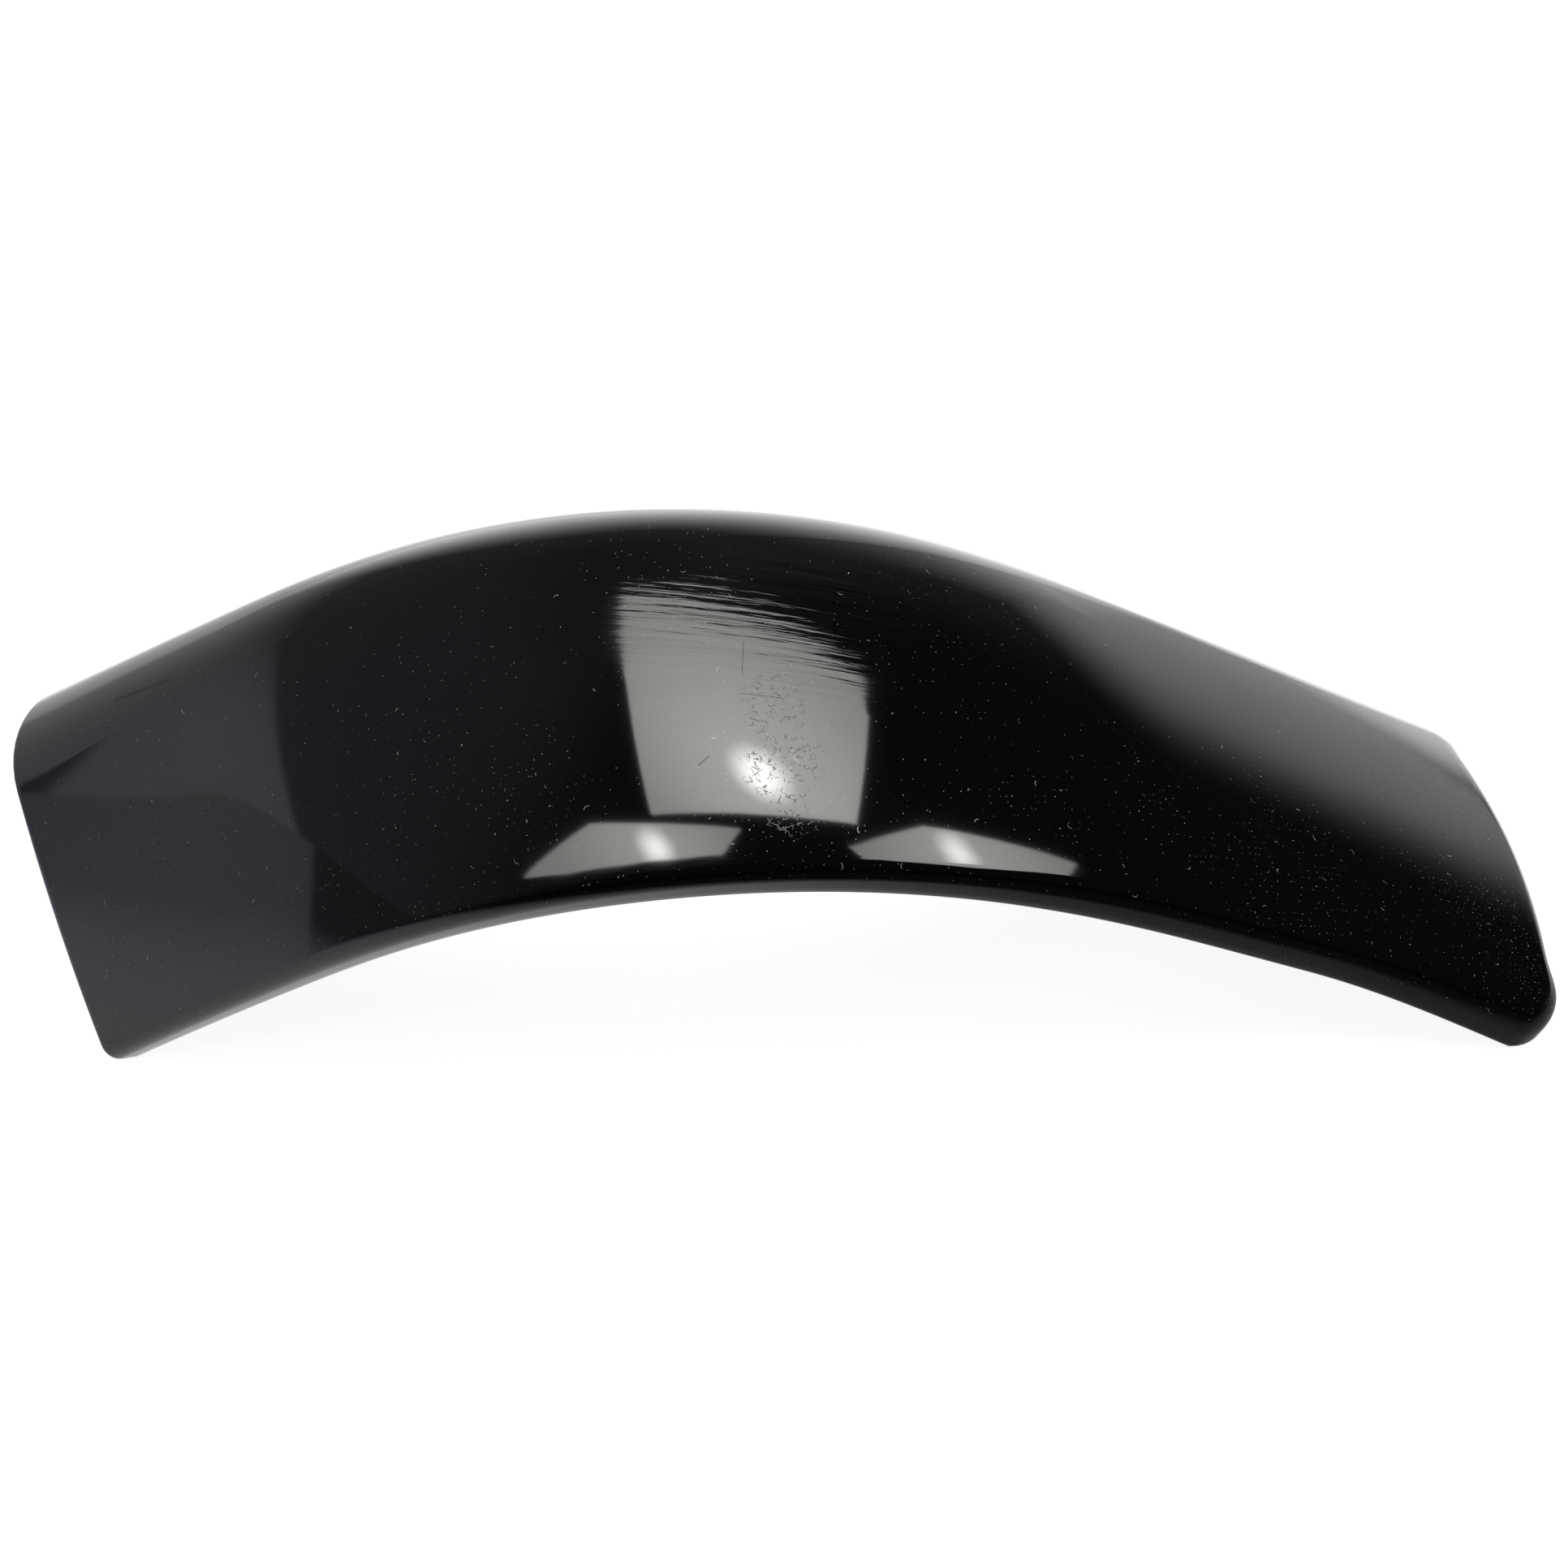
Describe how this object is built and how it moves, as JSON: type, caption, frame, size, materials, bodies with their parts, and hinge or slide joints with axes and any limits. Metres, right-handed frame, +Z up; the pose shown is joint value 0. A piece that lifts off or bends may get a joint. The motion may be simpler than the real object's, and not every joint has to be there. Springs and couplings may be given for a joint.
{
  "type": "roof moulding",
  "caption": "Arched, slightly twisted shell that covers the end of a vehicle roof moulding, with rolled-over sides, a closed slanted nose and a square-cut open end.",
  "frame": {"origin": "on the surface that the cover stands on, under the middle of its box", "axes": "+X along the near side from the open end to the nose, +Y towards the far side with the wide roll-over, +Z up from the three corners that the cover stands on"},
  "size_m": [0.2692, 0.1166, 0.1026],
  "materials": {
    "gloss_black": "high-gloss black injection-moulded plastic with fine dust and light scratches"
  },
  "bodies": {
    "root": {"cover": "gloss_black"}
  },
  "joints": []
}
